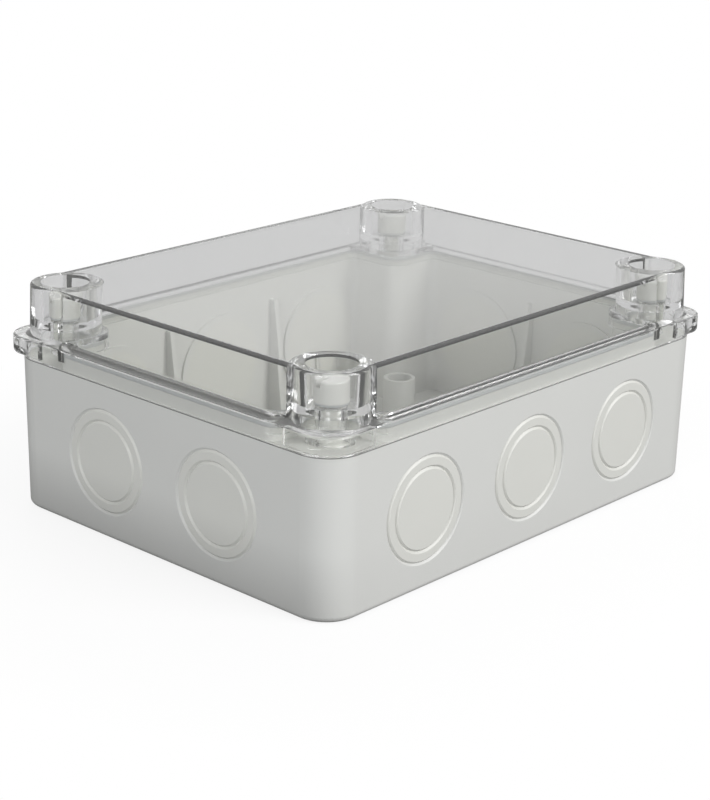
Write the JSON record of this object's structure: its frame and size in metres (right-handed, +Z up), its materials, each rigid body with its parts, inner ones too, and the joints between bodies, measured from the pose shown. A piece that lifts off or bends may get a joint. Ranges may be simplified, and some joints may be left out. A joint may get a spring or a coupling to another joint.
{
  "type": "junction box",
  "caption": "Surface-mounting electrical junction box: drafted grey base with knockout cable entries on all sides, and a deep clear screw-down cover.",
  "frame": {"origin": "centre of the box's underside, at the middle of its outline", "axes": "+X along the long side, +Y along the short side, +Z up from the mounting face through the clear cover; the front is the long side at -Y"},
  "size_m": [0.2, 0.1556, 0.08],
  "materials": {
    "grey_plastic": "fine matt moulded light grey",
    "knockout_plastic": "fine matt moulded light grey, slightly warmer where the wall is thin",
    "clear_plastic": "clear polished",
    "seal_rubber": "matt grey",
    "screw_nylon": "off-white, satin"
  },
  "bodies": {
    "base": {"base_box": "grey_plastic", "knockout_disc_front_1": "knockout_plastic", "knockout_ring_front_1": "knockout_plastic", "knockout_disc_front_2": "knockout_plastic", "knockout_ring_front_2": "knockout_plastic", "knockout_disc_front_3": "knockout_plastic", "knockout_ring_front_3": "knockout_plastic", "knockout_disc_back_1": "knockout_plastic", "knockout_ring_back_1": "knockout_plastic", "knockout_disc_back_2": "knockout_plastic", "knockout_ring_back_2": "knockout_plastic", "knockout_disc_back_3": "knockout_plastic", "knockout_ring_back_3": "knockout_plastic", "knockout_disc_left_1": "knockout_plastic", "knockout_ring_left_1": "knockout_plastic", "knockout_disc_left_2": "knockout_plastic", "knockout_ring_left_2": "knockout_plastic", "knockout_disc_right_1": "knockout_plastic", "knockout_ring_right_1": "knockout_plastic", "knockout_disc_right_2": "knockout_plastic", "knockout_ring_right_2": "knockout_plastic"},
    "cover": {"cover": "clear_plastic", "gasket": "seal_rubber", "screw_washer_front_left": "seal_rubber", "screw_washer_front_right": "seal_rubber", "screw_washer_back_left": "seal_rubber", "screw_washer_back_right": "seal_rubber"},
    "screw_front_left": {"cover_screw_front_left": "screw_nylon"},
    "screw_front_right": {"cover_screw_front_right": "screw_nylon"},
    "screw_back_left": {"cover_screw_back_left": "screw_nylon"},
    "screw_back_right": {"cover_screw_back_right": "screw_nylon"}
  },
  "joints": [
    {"name": "cover_lift", "type": "slide", "parent": "base", "child": "cover", "axis": [0, 0, 1], "range_m": [0, 0.09]},
    {"name": "screw_turn_front_left", "type": "hinge", "parent": "cover", "child": "screw_front_left", "pos_m": [-0.08365, -0.0626, 0.0685], "axis": [0, 0, 1], "range_deg": [0, 90]},
    {"name": "screw_turn_front_right", "type": "hinge", "parent": "cover", "child": "screw_front_right", "pos_m": [0.08365, -0.0626, 0.0685], "axis": [0, 0, 1], "range_deg": [0, 90]},
    {"name": "screw_turn_back_left", "type": "hinge", "parent": "cover", "child": "screw_back_left", "pos_m": [-0.08365, 0.0626, 0.0685], "axis": [0, 0, 1], "range_deg": [0, 90]},
    {"name": "screw_turn_back_right", "type": "hinge", "parent": "cover", "child": "screw_back_right", "pos_m": [0.08365, 0.0626, 0.0685], "axis": [0, 0, 1], "range_deg": [0, 90]}
  ]
}
